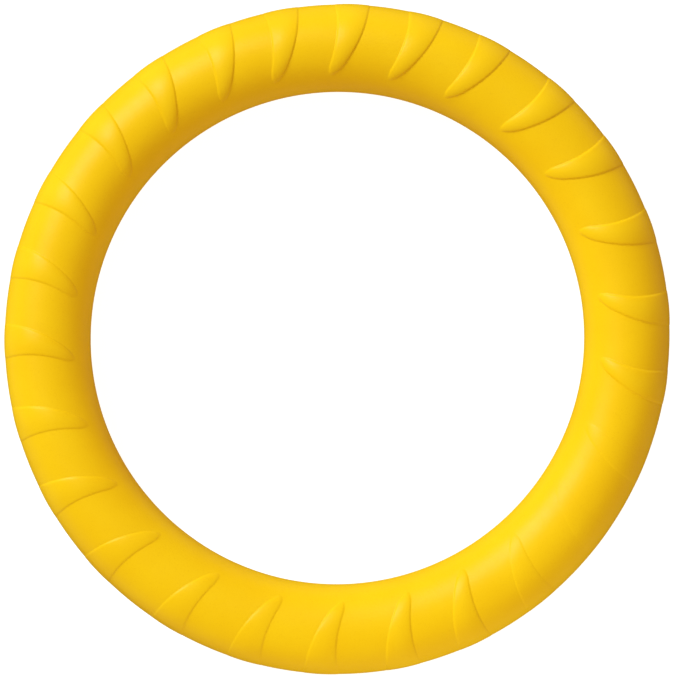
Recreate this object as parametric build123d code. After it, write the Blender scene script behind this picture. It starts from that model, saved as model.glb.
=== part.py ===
from build123d import *
from build123d.topology import SkipClean
import os
from math import cos, degrees, radians, sin

# A soft juggling ring: a round-section foam ring moulded in two halves, with leaf-shaped grip
# fins on both faces, round a thin plastic hoop that keeps it flat and circular.
# Millimetres. The ring lies flat: its axis is +Z and its centre is the origin. Angles round the
# ring are clockwise seen from +Z, starting at +Y. A place across the tube is its section angle,
# from 0 at the outer rim, over 90 at the crown of the front face, to 180 at the inner rim.

# Driving dimensions
OVERALL_DIAMETER = 320.0
TUBE_DIAMETER = 41.7
FIN_COUNT = 26
FIN_PROUD_AT_RIM = 0.45
FIN_PROUD_AT_CROWN = 1.0
FIN_PROUD_AT_TIP = 0.45
FIN_TIP_ANGLE = 125.0
# Where the fins stand, in degrees round the ring: the first one's place, a slow drift of the
# pitch (sine parts for one and two turns, cosine part for two), and the shifts of single fins
FIRST_FIN_PLACE = 0.6
DRIFT_ONCE = -2.76
DRIFT_TWICE = (-1.28, -0.33)
FIN_SHIFTS = {0: -0.8, 1: -0.6, 2: -0.8, 5: 0.4, 6: 0.7, 10: 0.5, 12: -0.9, 13: -0.5}
FIN_SHIFTS |= {14: -1.0, 15: -0.7, 16: 0.5, 17: 0.4, 20: -0.6, 21: -1.0, 25: -0.6}
# A fin's outline, in degrees round the ring from its place, by the cosine of the section angle:
# the low edge bows by this much, and the high edge is a cubic, constant term first
LOW_EDGE_BOW = 1.88
HIGH_EDGE_TERMS = (4.25, 4.0, -2.6, 0.45)
HOOP_DIAMETER = 12.0
HOOP_WALL = 1.5
CHANNEL_CLEARANCE = 0.15
PLUG_REACH = 22.0
PLUG_COLLAR_WIDTH = 2.4
PLUG_CLEARANCE = 0.25
PLUG_RIB_CLEARANCE = 0.05
PLUG_RIB_WIDTH = 1.6
PLUG_RIBS_EACH_SIDE = 3
PLUG_FIRST_RIB = 0.9
PLUG_END_CHAMFER = 1.2
PLUG_PLACE = 181.0

# Derived sizes
TUBE_RADIUS = TUBE_DIAMETER / 2
CENTRELINE_RADIUS = OVERALL_DIAMETER / 2 - FIN_PROUD_AT_RIM - TUBE_RADIUS
HOOP_RADIUS = HOOP_DIAMETER / 2
HOOP_BORE_RADIUS = HOOP_RADIUS - HOOP_WALL
CHANNEL_RADIUS = HOOP_RADIUS + CHANNEL_CLEARANCE

# A fin's cross-section is an arc whose ends sink into the tube, over a root buried in it.
FIN_SINK = 0.8
FIN_ROOT_DEPTH = 3.0
# Section angle of each cross-section, and how far it is lowered. The first lies past the
# mid-plane, where the fin is cut off, and the last two sink to round the tip.
FIN_STATIONS = [(-10, 0), (12, 0), (34, 0), (56, 0), (76, 0), (94, 0), (108, 0), (119, 0)]
FIN_TIP_STATIONS = [(127, 0.12), (133, 0.6)]
# Each fin's sector of the ring starts this many degrees before it, in the plain gap.
SECTOR_LEAD = 3.4


def fin_place(index):
    """Angle round the ring of a fin: an even pitch, a slow drift round the mould, its own shift."""
    even = 360 * index / FIN_COUNT
    turn = radians(even)
    drift = DRIFT_ONCE * sin(turn) + DRIFT_TWICE[0] * sin(2 * turn) + DRIFT_TWICE[1] * cos(2 * turn)
    return FIRST_FIN_PLACE + even + drift + FIN_SHIFTS.get(index % FIN_COUNT, 0.0)


def fin_edges(section_angle):
    """Angles round the ring of a fin's two edges, from its place, at one section angle."""
    across = cos(radians(section_angle))
    low = LOW_EDGE_BOW * across * (1 - across)
    high = sum(term * across**power for power, term in enumerate(HIGH_EDGE_TERMS))
    return low, high


def fin_height(section_angle):
    """How far a fin's middle stands out of the tube: most on the outer shoulder, least at its tip."""
    tip = radians(FIN_TIP_ANGLE)
    lift = (FIN_PROUD_AT_TIP - FIN_PROUD_AT_RIM * cos(tip) - FIN_PROUD_AT_CROWN * sin(tip)) / (
        1 - cos(tip) - sin(tip)
    )
    angle = radians(section_angle)
    at_rim = (FIN_PROUD_AT_RIM - lift) * cos(angle)
    at_crown = (FIN_PROUD_AT_CROWN - lift) * sin(angle)
    return lift + at_rim + at_crown


def fin_section(section_angle, lowered):
    """One closed cross-section of the fin whose place is angle 0, square to the fin's length."""
    low, high = fin_edges(section_angle)
    height = fin_height(section_angle)
    turn, angle = radians((low + high) / 2), radians(section_angle)
    radius = CENTRELINE_RADIUS + TUBE_RADIUS * cos(angle)
    middle = Vector(radius * sin(turn), radius * cos(turn), TUBE_RADIUS * sin(angle))
    round_ring = Vector(cos(turn), -sin(turn), 0)
    towards_tip = Vector(-sin(angle) * sin(turn), -sin(angle) * cos(turn), cos(angle))
    plane = Plane(middle, x_dir=round_ring, z_dir=towards_tip)
    # The arc is wider than the fin, so that it crosses the tube's surface at the fin's edges.
    half_width = radius * radians(high - low) / 2 * ((height + FIN_SINK) / height) ** 0.5
    arc_end = -FIN_SINK - lowered
    root = -FIN_ROOT_DEPTH - lowered
    arc = ThreePointArc((-half_width, arc_end), (0, height - lowered), (half_width, arc_end))
    sides = Polyline(
        (half_width, arc_end), (half_width, root), (-half_width, root), (-half_width, arc_end)
    )
    return plane * make_face([arc, sides])


def make_fin():
    """One fin, from below the mid-plane at the outer rim to its rounded tip."""
    stations = FIN_STATIONS + FIN_TIP_STATIONS
    return loft([fin_section(section_angle, lowered) for section_angle, lowered in stations])


def ring_solid(section, start=0.0, sweep=360.0):
    """Turn a section, drawn in the XZ plane, round the ring's axis from one ring angle on."""
    turned = revolve(section, axis=Axis.Z, revolution_arc=sweep)
    # The section lies at ring angle 90, and revolving goes against the ring angle.
    return turned.rotate(Axis.Z, 90 - start - sweep)


def tube_section(radius, bore=0.0):
    """A disc, or a ring if it has a bore, where the tube's centreline crosses the XZ plane."""
    disc = Circle(radius) if bore == 0 else Circle(radius) - Circle(bore)
    return Plane.XZ * Pos(CENTRELINE_RADIUS, 0) * disc


def half_section():
    """The foam of the front half where it crosses the XZ plane: a C over the mid-plane."""
    upper = Plane.XZ * Pos(CENTRELINE_RADIUS, TUBE_RADIUS) * Rectangle(2 * TUBE_DIAMETER, TUBE_DIAMETER)
    return tube_section(TUBE_RADIUS, CHANNEL_RADIUS) & upper


def make_front_half():
    """The foam over the mid-plane, with its fins and the half-round channel for the hoop.

    It is made as one sector for each fin. The sectors' faces aren't merged when they are joined,
    because one torus face with every fin cut out of it measures badly.
    """
    section = half_section()
    size = 2 * OVERALL_DIAMETER
    fin = make_fin() - Pos(0, 0, -size / 2) * Box(size, size, size)
    sectors = []
    for index in range(FIN_COUNT):
        start = fin_place(index) - SECTOR_LEAD
        sweep = fin_place(index + 1) - fin_place(index)
        placed_fin = fin.rotate(Axis.Z, -fin_place(index))
        sectors.append(ring_solid(section, start, sweep).fuse(placed_fin))
    with SkipClean():
        return sectors[0].fuse(*sectors[1:])


def make_core_hoop():
    """The thin-walled tube, with a gap as wide as the plug's collar between its ends."""
    gap = degrees(PLUG_COLLAR_WIDTH / CENTRELINE_RADIUS)
    return ring_solid(tube_section(HOOP_RADIUS, HOOP_BORE_RADIUS), PLUG_PLACE + gap / 2, 360 - gap)


def make_core_joint_plug():
    """The plug in the hoop's ends: a shank with a collar in the gap and ribs that grip the bore."""
    reach = degrees(PLUG_REACH / CENTRELINE_RADIUS)
    collar = degrees(PLUG_COLLAR_WIDTH / CENTRELINE_RADIUS)
    rib = degrees(PLUG_RIB_WIDTH / CENTRELINE_RADIUS)
    shank_section = tube_section(HOOP_BORE_RADIUS - PLUG_CLEARANCE)
    shank = ring_solid(shank_section, PLUG_PLACE - reach, 2 * reach)
    ends = shank.edges().filter_by(GeomType.CIRCLE).sort_by(Axis.X)
    plug = chamfer([ends[0], ends[-1]], PLUG_END_CHAMFER)
    plug += ring_solid(tube_section(HOOP_RADIUS), PLUG_PLACE - collar / 2, collar)
    rib_section = tube_section(HOOP_BORE_RADIUS - PLUG_RIB_CLEARANCE)
    spacing = reach / (PLUG_RIBS_EACH_SIDE + 1)
    for side in (-1, 1):
        for index in range(PLUG_RIBS_EACH_SIDE):
            place = PLUG_PLACE + side * (index + PLUG_FIRST_RIB) * spacing
            plug += ring_solid(rib_section, place - rib / 2, rib)
    return plug


os.makedirs("parts", exist_ok=True)

front_half = make_front_half()
parts = {
    "front_half": front_half,
    "rear_half": front_half.mirror(Plane.XY),
    "core_hoop": make_core_hoop(),
    "core_joint_plug": make_core_joint_plug(),
}
for name, shape in parts.items():
    export_step(shape, f"parts/{name}.step")
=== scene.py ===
from math import cos, degrees, radians, sin

import bmesh
import bpy
import numpy as np
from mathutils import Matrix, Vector


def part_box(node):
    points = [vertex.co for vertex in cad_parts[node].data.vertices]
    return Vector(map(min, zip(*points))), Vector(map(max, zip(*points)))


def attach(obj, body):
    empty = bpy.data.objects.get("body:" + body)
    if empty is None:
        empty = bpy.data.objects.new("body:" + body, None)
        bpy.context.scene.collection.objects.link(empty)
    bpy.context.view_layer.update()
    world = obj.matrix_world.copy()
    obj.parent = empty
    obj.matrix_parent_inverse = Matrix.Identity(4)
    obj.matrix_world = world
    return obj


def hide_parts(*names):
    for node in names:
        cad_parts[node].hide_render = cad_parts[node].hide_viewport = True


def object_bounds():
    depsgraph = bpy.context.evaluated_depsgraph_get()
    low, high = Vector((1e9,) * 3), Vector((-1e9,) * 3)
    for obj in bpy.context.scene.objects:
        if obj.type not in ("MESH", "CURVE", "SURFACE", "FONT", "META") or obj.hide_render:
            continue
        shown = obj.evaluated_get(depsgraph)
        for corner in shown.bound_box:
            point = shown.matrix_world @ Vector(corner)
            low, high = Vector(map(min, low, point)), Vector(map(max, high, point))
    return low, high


# Looks of the soft juggling ring. Metres, +Z out of the front face. Angles round the ring are in
# degrees, clockwise seen from +Z, starting at +Y. A place across the tube is its section angle,
# from 0 at the outer rim, over 90 at the crown of a face, to 180 at the inner rim.

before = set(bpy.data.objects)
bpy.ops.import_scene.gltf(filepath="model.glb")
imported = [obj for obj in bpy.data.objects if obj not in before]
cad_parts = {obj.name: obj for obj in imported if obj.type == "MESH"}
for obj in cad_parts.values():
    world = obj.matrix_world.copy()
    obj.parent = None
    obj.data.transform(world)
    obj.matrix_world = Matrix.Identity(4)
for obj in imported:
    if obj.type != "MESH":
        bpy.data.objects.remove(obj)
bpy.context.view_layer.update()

MM = 0.001
half_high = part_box("front_half")[1]
hoop_low, hoop_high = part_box("core_hoop")
hoop_radius = (hoop_high.z - hoop_low.z) / 2

# How far a fin's middle stands out of the tube
FIN_COUNT = 26
FIN_PROUD_AT_RIM = 0.16 * MM
FIN_PROUD_AT_CROWN = 1.2 * MM
FIN_PROUD_AT_TIP = 0.7 * MM
FIN_TIP_ANGLE = 125.0

# Sizes that follow from the frame, whose halves have plainer fins and a channel for the hoop
PLAIN_FIN_PROUD_AT_CROWN = 1.0 * MM
CHANNEL_CLEARANCE = 0.15 * MM
centreline_radius = hoop_high.x - hoop_radius
tube_radius = half_high.z - PLAIN_FIN_PROUD_AT_CROWN
channel_radius = hoop_radius + CHANNEL_CLEARANCE

# Where the fins stand, in degrees round the ring: the first one's place, a slow drift of the
# pitch (sine parts for one and two turns, cosine part for two), and the shifts of single fins
FIRST_FIN_PLACE = 0.6
DRIFT_ONCE = -2.76
DRIFT_TWICE = (-1.28, -0.33)
FIN_SHIFTS = {0: -0.8, 1: -0.6, 2: -0.8, 5: 0.4, 6: 0.7, 10: 0.5, 12: -0.9, 13: -0.5}
FIN_SHIFTS |= {14: -1.0, 15: -0.7, 16: 0.5, 17: 0.4, 20: -0.6, 21: -1.0, 25: -0.6}

# A fin's outline, in degrees round the ring from its place, by the cosine of the section angle:
# the low edge bows by this much, and the high edge is a cubic, constant term first
LOW_EDGE_BOW = 1.88
HIGH_EDGE_TERMS = (4.25, 4.0, -2.6, 0.45)

# A fin is a low dome on a small steep step. Its outline stops narrowing at one cosine of the
# section angle, and its tip is a half ellipse between two section angles.
STEP_SHARE = 0.34
STEP_WIDTH = 1.0 * MM
TIP_ROUNDS_FROM = 112.0
TIP_ENDS_AT = 131.0
NARROWEST_ACROSS = -0.64

# How strongly each fin stands out, as a share of its height: the fins are deepest at the upper
# right, and three at the lower right hardly show
MEAN_STRENGTH = 0.95
STRENGTH_SWING = 0.2
STRENGTH_SCATTER = 0.05
SEED = 26
DEEPEST_FINS_AT = 35.0
FAINT_FINS = {8: 0.3, 9: 0.13, 10: 0.35}

# Soft foam is slightly out of round: sine and cosine parts, in millimetres, of 1 to 3 waves
CENTRELINE_WAVES = {2: (0.40, 0.22), 3: (0.13, -0.14)}
THICKNESS_WAVES = {1: (0.06, -0.14), 2: (0.14, 0.36), 3: (0.13, -0.14)}

# The parting line: each half's edge rolls in where the two meet
LIP_DEPTH = 0.35 * MM
LIP_WIDTH = 0.5 * MM

# Mesh: how far rows stand apart over the tube, and columns across each fin and each gap
SEAM_ROWS = np.array([0.0, 0.15, 0.35, 0.6, 0.95, 1.4]) * MM
ROW_SPACING = 0.85 * MM
TIP_ROW_SPACING = 0.45 * MM
CHANNEL_ROWS = 12
STEP_COLUMNS = np.array([0.0, 0.28, 0.58, 0.88, 1.2]) * MM
DOME_COLUMNS = [0.08, 0.2, 0.35, 0.5, 0.65, 0.8, 0.92]
GAP_COLUMNS = [0.015, 0.06, 0.17, 0.33, 0.5, 0.67, 0.83, 0.94, 0.985]

# Lamps: tilt is from the ring's axis and side is an angle round the ring, both in degrees
KEY_TILT = 50.0
KEY_SIDE = 315.0
KEY_STRENGTH = 2.9
KEY_COLOUR = (0.76, 1.0, 1.0)
KEY_SOFTNESS = 35.0
FILL_TILT = 77.0
FILL_SIDE = 165.0
FILL_DISTANCE = 0.45
FILL_WIDTH = 0.25
FILL_POWER = 0.42
FILL_COLOUR = (0.85, 1.0, 0.5)

# Surround and floor
AMBIENT_FROM_ABOVE = (0.55, 0.43, 0.4)
AMBIENT_FROM_BELOW = (0.85, 0.78, 0.7)
FLOOR_GLOW = 0.93
FLOOR_SIZE = 40.0

# Camera: a long lens straight over the ring
VIEW_HEIGHT = 0.3248
CAMERA_DISTANCE = 2.5
CAMERA_AIM = Vector((0.22 * MM, -0.54 * MM, 0.0))
CAMERA_CLIP_END = 100.0
SENSOR = 36.0

# Colours
FOAM_COLOURS = ((0.91, 0.525, 0.002), (0.93, 0.555, 0.003))
FOAM_PORE_COLOUR = (0.84, 0.45, 0.002)
# Paler yellow on the raised fin crests: a painted highlight
FOAM_CREST_HIGHLIGHT_COLOUR = (0.93, 0.57, 0.006)
HOOP_COLOURS = ((0.74, 0.74, 0.7), (0.84, 0.84, 0.8))
PLUG_COLOURS = ((0.012, 0.012, 0.014), (0.03, 0.03, 0.033))
FLOOR_COLOURS = ((0.3, 0.3, 0.3), (0.32, 0.32, 0.32))

# Places of a Mix node's two colour inputs and its colour output, which share names with others
MIX_FIRST = 6
MIX_SECOND = 7
MIX_RESULT = 2

random = np.random.default_rng(SEED)
fin_turn = np.arange(FIN_COUNT) * 360 / FIN_COUNT
fin_strength = MEAN_STRENGTH + STRENGTH_SWING * np.cos(np.radians(fin_turn - DEEPEST_FINS_AT))
fin_strength += random.uniform(-STRENGTH_SCATTER, STRENGTH_SCATTER, FIN_COUNT)
for faint_fin, strength in FAINT_FINS.items():
    fin_strength[faint_fin] = strength


def fin_place(index):
    """Angle round the ring of a fin: an even pitch, a slow drift round the mould, its own shift."""
    even = 360 * index / FIN_COUNT
    turn = radians(even)
    drift = DRIFT_ONCE * sin(turn) + DRIFT_TWICE[0] * sin(2 * turn) + DRIFT_TWICE[1] * cos(2 * turn)
    return FIRST_FIN_PLACE + even + drift + FIN_SHIFTS.get(index % FIN_COUNT, 0.0)


def fin_edges(section_angle):
    """Angles round the ring of a fin's two edges, from its place, at one section angle."""
    across = max(cos(radians(section_angle)), NARROWEST_ACROSS)
    low = LOW_EDGE_BOW * across * (1 - across)
    high = sum(term * across**power for power, term in enumerate(HIGH_EDGE_TERMS))
    return low, high


def fin_height(section_angle):
    """How far a fin's middle stands out of the tube: most on the outer shoulder, least at its tip."""
    tip = radians(FIN_TIP_ANGLE)
    lift = (FIN_PROUD_AT_TIP - FIN_PROUD_AT_RIM * cos(tip) - FIN_PROUD_AT_CROWN * sin(tip)) / (
        1 - cos(tip) - sin(tip)
    )
    angle = radians(section_angle)
    at_rim = (FIN_PROUD_AT_RIM - lift) * cos(angle)
    at_crown = (FIN_PROUD_AT_CROWN - lift) * sin(angle)
    return lift + at_rim + at_crown


def ring_columns(section_angle):
    """For one row: each column's angle round the ring, place across its fin and fin strength.

    The columns follow the fins' edges, so that the step at a fin's foot stays sharp. A place
    runs from -1 at one edge of a fin to 1 at the other, and is 1 all over the gaps.
    """
    low, high = fin_edges(section_angle)
    radius = centreline_radius + tube_radius * cos(radians(section_angle))
    step = np.degrees(STEP_COLUMNS / radius) / (high - low)
    inside = step[-1] + (1 - 2 * step[-1]) * np.array(DOME_COLUMNS)
    shares = np.concatenate([step, inside, 1 - step[::-1]])
    angles, places, strengths = [], [], []
    for index in range(FIN_COUNT):
        start = fin_place(index) + low
        end = start + high - low
        following = fin_place(index + 1) + low
        angles += [start + shares * (end - start), end + np.array(GAP_COLUMNS) * (following - end)]
        places += [2 * shares - 1, np.ones(len(GAP_COLUMNS))]
        strengths += [np.full(len(shares) + len(GAP_COLUMNS), fin_strength[index])]
    return np.concatenate(angles), np.concatenate(places), np.concatenate(strengths)


def fin_relief(section_angle, places, strengths):
    """Height of the fins over the tube along one row, as a share of the fin's middle height."""
    low, high = fin_edges(section_angle)
    radius = centreline_radius + tube_radius * cos(radians(section_angle))
    half_width = radius * radians(high - low) / 2
    past = max(0.0, (section_angle - TIP_ROUNDS_FROM) / (TIP_ENDS_AT - TIP_ROUNDS_FROM))
    outwards = np.minimum(np.hypot(places, past), 1)
    from_edge = (1 - outwards) * half_width
    ramp = np.minimum(from_edge / STEP_WIDTH, 1)
    step = ramp * (2 - ramp)
    return strengths * (STEP_SHARE * step + (1 - STEP_SHARE) * (1 - outwards**2))


def waves(table, angles):
    """A slow change round the ring, in metres, from a table of its waves in millimetres."""
    turn = np.radians(angles)
    return MM * sum(s * np.sin(n * turn) + c * np.cos(n * turn) for n, (s, c) in table.items())


def face_rows():
    """Section angles of the rows over the tube's face, closer at the parting line and fin tips."""
    seam = np.degrees(SEAM_ROWS / tube_radius)
    rows = list(seam)
    while rows[-1] < 180 - seam[-1]:
        near_tip = TIP_ROUNDS_FROM < rows[-1] < TIP_ENDS_AT
        rows.append(rows[-1] + degrees((TIP_ROW_SPACING if near_tip else ROW_SPACING) / tube_radius))
    return np.array(rows[:-1] + list(180 - seam[::-1]))


def face_row(section_angle):
    """Points of one row over the face, and how raised each one is."""
    angles, places, strengths = ring_columns(section_angle)
    relief = fin_relief(section_angle, places, strengths)
    from_seam = radians(min(section_angle, 180 - section_angle)) * tube_radius
    lip = LIP_DEPTH * np.exp(-((from_seam / LIP_WIDTH) ** 2))
    height = relief * fin_height(section_angle) - lip
    reach = tube_radius + waves(THICKNESS_WAVES, angles) + height
    radius = centreline_radius + waves(CENTRELINE_WAVES, angles) + reach * cos(radians(section_angle))
    turn = np.radians(angles)
    up = reach * sin(radians(section_angle))
    points = np.stack([radius * np.sin(turn), radius * np.cos(turn), up], axis=1)
    return points, relief


def flat_rows():
    """Rows of the mating face: flat land, the half-round channel for the hoop, flat land."""
    inner_angles = ring_columns(180)[0]
    outer_angles = ring_columns(0)[0]
    channel = np.linspace(180, 0, CHANNEL_ROWS)
    inner_land = [(-0.5 * (tube_radius + channel_radius), 0.0)]
    outer_land = [(0.5 * (tube_radius + channel_radius), 0.0)]
    groove = [(channel_radius * cos(radians(a)), channel_radius * sin(radians(a))) for a in channel]
    rows = []
    for outward, up in inner_land + groove + outer_land:
        share = 0.5 + 0.5 * outward / tube_radius
        turn = np.radians(inner_angles + share * (outer_angles - inner_angles))
        radius = centreline_radius + outward
        level = np.full_like(turn, max(up, 0.0))
        rows.append(np.stack([radius * np.sin(turn), radius * np.cos(turn), level], axis=1))
    return rows


def make_half(name, node, side):
    """One foam half as a closed mesh: side is 1 for the front and -1 for the rear."""
    rows, reliefs = [], []
    for section_angle in face_rows():
        points, share = face_row(section_angle)
        rows.append(points)
        reliefs.append(share)
    for points in flat_rows():
        rows.append(points)
        reliefs.append(np.zeros(len(points)))
    grid = np.array(rows)
    grid[:, :, 2] *= side
    row_count, column_count = grid.shape[:2]
    row = np.arange(row_count)[:, None]
    column = np.arange(column_count)[None, :]
    next_row = (row + 1) % row_count
    next_column = (column + 1) % column_count
    corners = [
        row * column_count + column,
        row * column_count + next_column,
        next_row * column_count + next_column,
        next_row * column_count + column,
    ]
    faces = np.stack(corners, axis=2).reshape(-1, 4)
    mesh = bpy.data.meshes.new(name)
    mesh.from_pydata(grid.reshape(-1, 3).tolist(), [], faces.tolist())
    relief = mesh.attributes.new("relief", "FLOAT", "POINT")
    relief.data.foreach_set("value", np.array(reliefs).reshape(-1))
    work = bmesh.new()
    work.from_mesh(mesh)
    bmesh.ops.recalc_face_normals(work, faces=work.faces)
    work.to_mesh(mesh)
    work.free()
    mesh.shade_smooth()
    piece = bpy.data.objects.new(name, mesh)
    bpy.context.collection.objects.link(piece)
    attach(piece, "root")
    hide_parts(node)
    return piece


class Nodes:
    """Short ways to add and join the nodes of one material."""

    def __init__(self, name):
        self.material = bpy.data.materials.new(name)
        self.material.use_nodes = True
        self.tree = self.material.node_tree
        self.shader = self.tree.nodes["Principled BSDF"]
        self.place = self.add("ShaderNodeTexCoord").outputs["Object"]

    def add(self, kind, **settings):
        """A new node with these settings."""
        node = self.tree.nodes.new(kind)
        for key, value in settings.items():
            setattr(node, key, value)
        return node

    def join(self, source, target):
        """Link an output to an input."""
        self.tree.links.new(source, target)

    def noise(self, scale, detail=2.0):
        """Soft noise over the piece, at so many features to the metre."""
        node = self.add("ShaderNodeTexNoise")
        node.inputs["Scale"].default_value = scale
        node.inputs["Detail"].default_value = detail
        self.join(self.place, node.inputs["Vector"])
        return node.outputs["Fac"]

    def cells(self, scale):
        """Rounded cells over the piece, at so many to the metre."""
        node = self.add("ShaderNodeTexVoronoi", feature="SMOOTH_F1")
        node.inputs["Scale"].default_value = scale
        self.join(self.place, node.inputs["Vector"])
        return node.outputs["Distance"]

    def spread(self, value, low, high, to_low, to_high):
        """Stretch a value's range onto another range."""
        node = self.add("ShaderNodeMapRange")
        node.inputs["From Min"].default_value = low
        node.inputs["From Max"].default_value = high
        node.inputs["To Min"].default_value = to_low
        node.inputs["To Max"].default_value = to_high
        self.join(value, node.inputs["Value"])
        return node.outputs["Result"]

    def blend(self, share, first, second):
        """Mix two colours, each of them fixed or the output of a node."""
        node = self.add("ShaderNodeMix", data_type="RGBA")
        self.join(share, node.inputs["Factor"])
        for value, place in ((first, MIX_FIRST), (second, MIX_SECOND)):
            if isinstance(value, tuple):
                node.inputs[place].default_value = (*value, 1.0)
            else:
                self.join(value, node.inputs[place])
        return node.outputs[MIX_RESULT]

    def bump(self, height, distance, strength, under=None):
        """A small relief, on top of another one where that is given."""
        node = self.add("ShaderNodeBump")
        node.inputs["Distance"].default_value = distance
        node.inputs["Strength"].default_value = strength
        self.join(height, node.inputs["Height"])
        if under is not None:
            self.join(under, node.inputs["Normal"])
        return node.outputs["Normal"]


def foam_skin():
    """Moulded closed-cell foam: saturated warm yellow, matte, with a fine pored skin."""
    nodes = Nodes("foam_skin")
    mottle = nodes.spread(nodes.noise(30, detail=3), 0.35, 0.65, 0.0, 1.0)
    colour = nodes.blend(mottle, *FOAM_COLOURS)
    pores = nodes.spread(nodes.noise(1400), 0.3, 0.42, 0.35, 0.0)
    colour = nodes.blend(pores, colour, FOAM_PORE_COLOUR)
    # Painted highlight: the raised fin crests blend towards a paler yellow
    raised = nodes.add("ShaderNodeAttribute", attribute_name="relief").outputs["Fac"]
    crest_highlight = nodes.spread(raised, 0.7, 1.0, 0.0, 0.3)
    colour = nodes.blend(crest_highlight, colour, FOAM_CREST_HIGHLIGHT_COLOUR)
    nodes.join(colour, nodes.shader.inputs["Base Color"])
    roughness = nodes.spread(nodes.noise(220, detail=3), 0.3, 0.7, 0.36, 0.43)
    nodes.join(roughness, nodes.shader.inputs["Roughness"])
    nodes.shader.inputs["Specular IOR Level"].default_value = 0.13
    swell = nodes.bump(nodes.noise(55), 0.25 * MM, 0.5)
    skin = nodes.bump(nodes.cells(900), 0.05 * MM, 0.7, under=swell)
    grain = nodes.bump(nodes.noise(2600), 0.03 * MM, 0.6, under=skin)
    nodes.join(grain, nodes.shader.inputs["Normal"])
    return nodes.material


def hoop_plastic():
    """Extruded polyethylene: milky, waxy and slightly uneven."""
    nodes = Nodes("hoop_plastic")
    colour = nodes.blend(nodes.noise(60, detail=3), *HOOP_COLOURS)
    nodes.join(colour, nodes.shader.inputs["Base Color"])
    nodes.join(nodes.spread(nodes.noise(400), 0.3, 0.7, 0.3, 0.45), nodes.shader.inputs["Roughness"])
    nodes.join(nodes.bump(nodes.noise(900), 0.03 * MM, 0.5), nodes.shader.inputs["Normal"])
    return nodes.material


def plug_plastic():
    """Black moulded polypropylene with a fine matte grain."""
    nodes = Nodes("plug_plastic")
    colour = nodes.blend(nodes.noise(300, detail=3), *PLUG_COLOURS)
    nodes.join(colour, nodes.shader.inputs["Base Color"])
    nodes.join(nodes.spread(nodes.noise(700), 0.3, 0.7, 0.38, 0.55), nodes.shader.inputs["Roughness"])
    nodes.join(nodes.bump(nodes.noise(2500), 0.02 * MM, 0.6), nodes.shader.inputs["Normal"])
    return nodes.material


def floor_white():
    """A pale sweep that glows a little, as a lit studio table does."""
    nodes = Nodes("floor_white")
    shade = nodes.blend(nodes.noise(2), *FLOOR_COLOURS)
    nodes.join(shade, nodes.shader.inputs["Base Color"])
    nodes.shader.inputs["Roughness"].default_value = 0.9
    nodes.shader.inputs["Specular IOR Level"].default_value = 0.0
    nodes.shader.inputs["Emission Color"].default_value = (1.0, 1.0, 1.0, 1.0)
    nodes.shader.inputs["Emission Strength"].default_value = FLOOR_GLOW
    return nodes.material


def give(piece, material):
    """Replace every material of a piece."""
    piece.data.materials.clear()
    piece.data.materials.append(material)


def make_floor(level):
    """The sweep that the ring lies on. Its light reaches the camera and not the ring."""
    mesh = bpy.data.meshes.new("floor")
    reach = FLOOR_SIZE / 2
    plan = [(-reach, -reach), (reach, -reach), (reach, reach), (-reach, reach)]
    corners = [(x, y, level) for x, y in plan]
    mesh.from_pydata(corners, [], [(0, 1, 2, 3)])
    floor = bpy.data.objects.new("floor", mesh)
    bpy.context.collection.objects.link(floor)
    give(floor, floor_white())
    floor.visible_glossy = False
    floor.visible_diffuse = False


def towards(side, tilt):
    """Direction of a lamp from the ring: its angle round the ring, and its tilt from the axis."""
    turn = radians(side)
    lean = radians(tilt)
    return Vector((sin(lean) * sin(turn), sin(lean) * cos(turn), cos(lean)))


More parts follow.
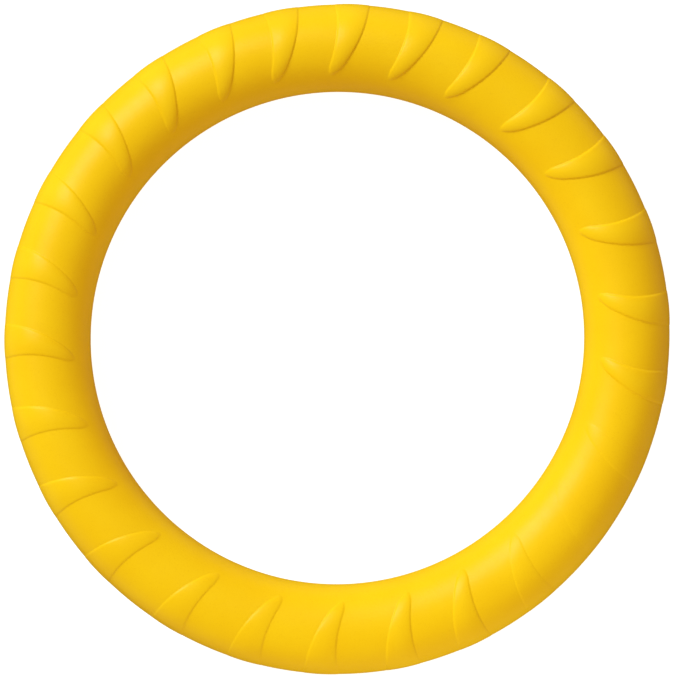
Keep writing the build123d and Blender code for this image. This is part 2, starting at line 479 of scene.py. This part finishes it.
def make_surround():
    """A warm surround that is brighter from below, in place of light thrown back by the floor."""
    world = bpy.data.worlds.new("surround")
    bpy.context.scene.world = world
    world.use_nodes = True
    world.cycles_visibility.glossy = False
    tree = world.node_tree
    way = tree.nodes.new("ShaderNodeTexCoord")
    split = tree.nodes.new("ShaderNodeSeparateXYZ")
    tree.links.new(way.outputs["Generated"], split.inputs["Vector"])
    above = tree.nodes.new("ShaderNodeMapRange")
    above.inputs["From Min"].default_value = -0.1
    above.inputs["From Max"].default_value = 0.1
    tree.links.new(split.outputs["Z"], above.inputs["Value"])
    mix = tree.nodes.new("ShaderNodeMix")
    mix.data_type = "RGBA"
    mix.inputs[MIX_FIRST].default_value = (*AMBIENT_FROM_BELOW, 1.0)
    mix.inputs[MIX_SECOND].default_value = (*AMBIENT_FROM_ABOVE, 1.0)
    tree.links.new(above.outputs["Result"], mix.inputs["Factor"])
    tree.links.new(mix.outputs[MIX_RESULT], tree.nodes["Background"].inputs["Color"])


def make_lights():
    """A broad soft key from the upper left, and a dim low fill from the bottom."""
    key = bpy.data.lights.new("key", "SUN")
    key.energy = KEY_STRENGTH
    key.angle = radians(KEY_SOFTNESS)
    key.color = KEY_COLOUR
    lamp = bpy.data.objects.new("key", key)
    bpy.context.collection.objects.link(lamp)
    lamp.rotation_euler = towards(KEY_SIDE, KEY_TILT).to_track_quat("Z", "Y").to_euler()
    fill = bpy.data.lights.new("fill", "AREA")
    fill.shape = "DISK"
    fill.size = FILL_WIDTH
    fill.energy = FILL_POWER
    fill.color = FILL_COLOUR
    lamp = bpy.data.objects.new("fill", fill)
    bpy.context.collection.objects.link(lamp)
    lamp.location = FILL_DISTANCE * towards(FILL_SIDE, FILL_TILT)
    lamp.rotation_euler = towards(FILL_SIDE, FILL_TILT).to_track_quat("Z", "Y").to_euler()
    lamp.visible_glossy = False


def make_camera():
    """A camera that looks straight down the ring's axis."""
    lens = bpy.data.cameras.new("camera")
    lens.sensor_width = SENSOR
    lens.lens = SENSOR * CAMERA_DISTANCE / VIEW_HEIGHT
    lens.clip_end = CAMERA_CLIP_END
    camera = bpy.data.objects.new("camera", lens)
    bpy.context.collection.objects.link(camera)
    camera.location = CAMERA_AIM + Vector((0, 0, CAMERA_DISTANCE))
    bpy.context.scene.camera = camera


make_camera()
make_lights()
make_surround()
bpy.context.scene.view_settings.view_transform = "Standard"

skin = foam_skin()
give(make_half("front_skin", "front_half", 1), skin)
give(make_half("rear_skin", "rear_half", -1), skin)
give(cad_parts["core_hoop"], hoop_plastic())
give(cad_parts["core_joint_plug"], plug_plastic())

low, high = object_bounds()
make_floor(low.z)
